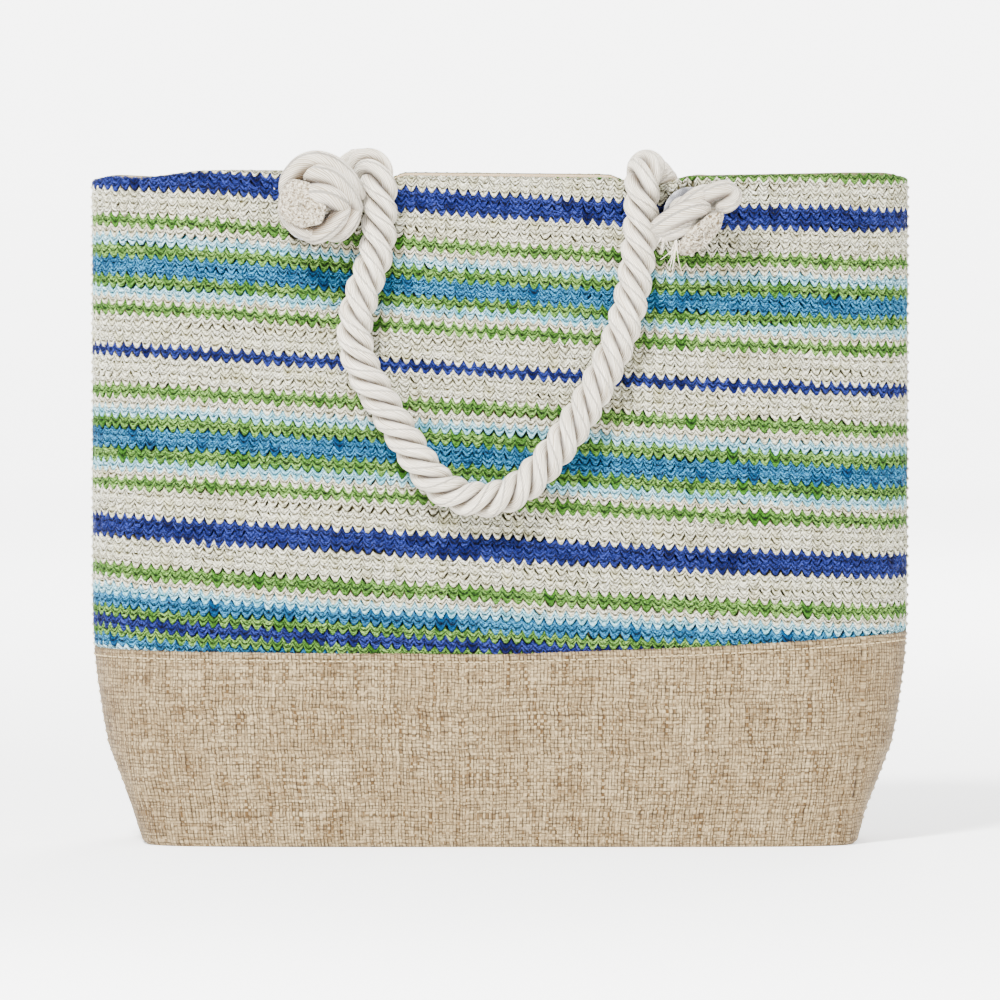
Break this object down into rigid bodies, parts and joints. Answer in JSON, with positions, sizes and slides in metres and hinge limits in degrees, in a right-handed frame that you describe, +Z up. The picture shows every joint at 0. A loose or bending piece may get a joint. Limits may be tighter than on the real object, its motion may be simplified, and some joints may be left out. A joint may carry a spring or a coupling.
{
  "type": "beach bag",
  "caption": "Open beach tote with a striped straw body, burlap base, cloth lining and two knotted rope handles through metal eyelets.",
  "frame": {"origin": "centre of the base, on the floor", "axes": "+Z up, +X along the bag's width, front panel facing -Y"},
  "size_m": [0.47, 0.1786, 0.4015],
  "materials": {
    "straw": "crocheted paper straw in stripes, slight sheen",
    "burlap": "coarse plain weave, matte",
    "lining": "smooth plain weave, matte",
    "facing": "plain weave, matte",
    "eyelet_metal": "nickel plated, satin",
    "rope": "twisted cotton, matte"
  },
  "bodies": {
    "bag": {"front_straw_panel": "straw", "front_lower_panel": "burlap", "front_lining": "lining", "front_top_facing": "facing", "rear_straw_panel": "straw", "rear_lower_panel": "burlap", "rear_lining": "lining", "rear_top_facing": "facing", "front_left_eyelet": "eyelet_metal", "front_left_eyelet_washer": "eyelet_metal", "front_left_rope_end": "rope", "front_left_rope_bend": "rope", "front_left_knot": "rope", "front_right_eyelet": "eyelet_metal", "front_right_eyelet_washer": "eyelet_metal", "front_right_rope_end": "rope", "front_right_rope_bend": "rope", "front_right_knot": "rope", "rear_left_eyelet": "eyelet_metal", "rear_left_eyelet_washer": "eyelet_metal", "rear_left_rope_end": "rope", "rear_left_rope_bend": "rope", "rear_left_knot": "rope", "rear_right_eyelet": "eyelet_metal", "rear_right_eyelet_washer": "eyelet_metal", "rear_right_rope_end": "rope", "rear_right_rope_bend": "rope", "rear_right_knot": "rope"},
    "front_handle": {"front_handle_rope": "rope"},
    "rear_handle": {"rear_handle_rope": "rope"}
  },
  "joints": [
    {"name": "front_handle_swing", "type": "hinge", "parent": "bag", "child": "front_handle", "pos_m": [0, -0.046, 0.377], "axis": [-1, 0, 0], "range_deg": [0, 180], "deforming": ["front_left_rope_bend", "front_right_rope_bend"]},
    {"name": "rear_handle_swing", "type": "hinge", "parent": "bag", "child": "rear_handle", "pos_m": [0, 0.046, 0.374], "axis": [1, 0, 0], "range_deg": [0, 180], "deforming": ["rear_left_rope_bend", "rear_right_rope_bend"]}
  ]
}
